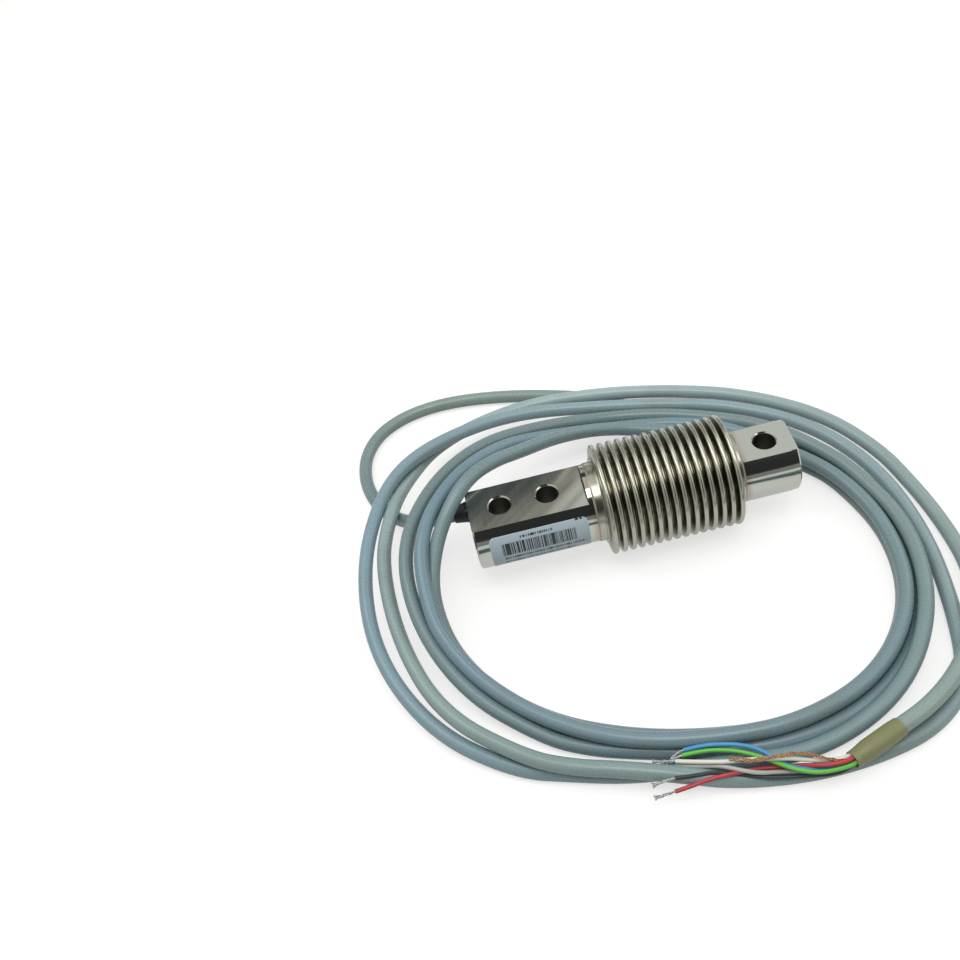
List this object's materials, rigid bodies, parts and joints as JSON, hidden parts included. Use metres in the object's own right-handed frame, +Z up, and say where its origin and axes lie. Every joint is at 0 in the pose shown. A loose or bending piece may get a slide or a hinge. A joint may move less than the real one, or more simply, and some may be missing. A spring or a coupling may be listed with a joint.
{
  "type": "bending beam load cell",
  "caption": "Round steel bending beam load cell with flats and through holes at both ends, a sealed bellows round its bending section and a coiled cable with stripped cores.",
  "frame": {"origin": "under the middle of the beam, on the surface that the bellows rests on", "axes": "+X along the beam from the clamped end to the load end, +Z up along the mounting holes"},
  "size_m": [0.2178, 0.2133, 0.042],
  "materials": {
    "stainless_beam": "satin",
    "stainless_bellows": "bright",
    "weld_metal": "heat tinted",
    "label_film": "satin",
    "gauge_foil": "matte",
    "board_laminate": "matte",
    "resistor_ceramic": "matte",
    "core_insulation": "matte",
    "gland_metal": "dark",
    "seal_rubber": "matte",
    "boot_rubber": "matte",
    "cable_jacket": "satin",
    "sleeve_plastic": "satin",
    "shield_copper": "bare copper strands",
    "tinned_wire": "tinned",
    "insulation_blue": "satin",
    "insulation_green": "satin",
    "insulation_white": "satin",
    "insulation_grey": "satin",
    "insulation_black": "satin",
    "insulation_red": "satin"
  },
  "bodies": {
    "root": {"beam_body": "stainless_beam", "bellows": "stainless_bellows", "weld_bead_clamped": "weld_metal", "weld_bead_load": "weld_metal", "label_sheet": "label_film", "gauge_top_clamped": "gauge_foil", "gauge_top_load": "gauge_foil", "gauge_bottom_clamped": "gauge_foil", "gauge_bottom_load": "gauge_foil", "trim_board": "board_laminate", "trim_resistor_upper": "resistor_ceramic", "trim_resistor_lower": "resistor_ceramic", "core_bundle": "core_insulation", "gland_bushing": "gland_metal", "gland_seal": "seal_rubber", "gland_boot": "boot_rubber", "cable_entry": "cable_jacket", "cable_lead": "cable_jacket", "cable_coil": "cable_jacket", "cable_tail": "cable_jacket", "cable_end": "cable_jacket", "shrink_sleeve": "sleeve_plastic", "shield_strands": "shield_copper", "core_blue": "insulation_blue", "tip_blue": "tinned_wire", "core_green": "insulation_green", "tip_green": "tinned_wire", "core_white": "insulation_white", "tip_white": "tinned_wire", "core_grey": "insulation_grey", "tip_grey": "tinned_wire", "core_black": "insulation_black", "tip_black": "tinned_wire", "core_red": "insulation_red", "tip_red": "tinned_wire"}
  },
  "joints": []
}
